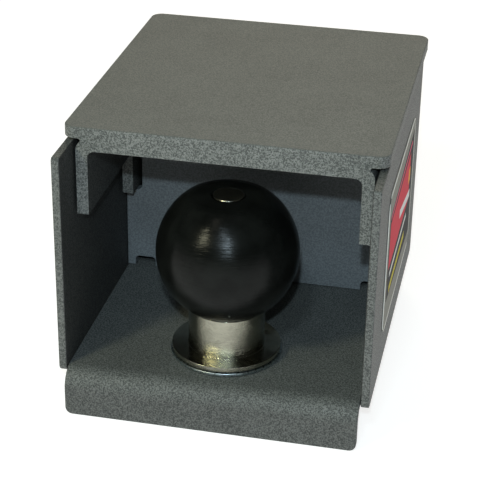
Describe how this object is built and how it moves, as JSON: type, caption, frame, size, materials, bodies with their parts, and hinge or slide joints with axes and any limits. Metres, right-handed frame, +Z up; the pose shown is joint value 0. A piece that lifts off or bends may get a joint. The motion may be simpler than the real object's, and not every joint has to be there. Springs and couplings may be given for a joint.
{
  "type": "trailer hitch ball lock box",
  "caption": "Lockable steel box around a trailer hitch ball, open at the front, with a floor that has bent lips and a lid whose tongues slide into the back plate and are held by a cam lock.",
  "frame": {"origin": "centre of the hitch ball, where a trailer's coupler holds the box up", "axes": "+Z up along the ball's post; -Y is the open front that the coupler goes into and the way the lid slides out; +Y is the lock's side; +X is the side with the label"},
  "size_m": [0.1296, 0.1634, 0.1192],
  "materials": {
    "textured_paint": "fine textured powder coat",
    "black_ball": "satin black",
    "bright_steel": "turned and plated",
    "zinc_steel": "zinc plated",
    "brass": "machined",
    "label_film": "printed film"
  },
  "bodies": {
    "box": {"left_side_plate": "textured_paint", "right_side_plate": "textured_paint", "floor_plate": "textured_paint", "back_plate": "textured_paint", "rear_plate": "textured_paint", "side_label": "label_film", "hitch_ball": "black_ball", "ball_post": "bright_steel", "seat_washer": "zinc_steel", "spring_washer": "zinc_steel", "ball_nut": "zinc_steel", "lock_body": "bright_steel", "lock_nut": "zinc_steel"},
    "lid": {"lid_top_plate": "textured_paint", "lid_channel": "textured_paint"},
    "lock": {"lock_plug": "brass", "lock_cam": "zinc_steel", "cam_washer": "zinc_steel", "cam_screw": "zinc_steel", "lock_wafer_1": "brass", "lock_wafer_2": "brass", "lock_wafer_3": "brass", "lock_wafer_4": "brass", "lock_wafer_5": "brass"}
  },
  "joints": [
    {"name": "lid_slide", "type": "slide", "parent": "box", "child": "lid", "axis": [0, -1, 0], "range_m": [0, 0.17]},
    {"name": "lock_turn", "type": "hinge", "parent": "box", "child": "lock", "pos_m": [-0.03, 0.095, 0.0026], "axis": [0, 1, 0], "range_deg": [0, 90]}
  ]
}
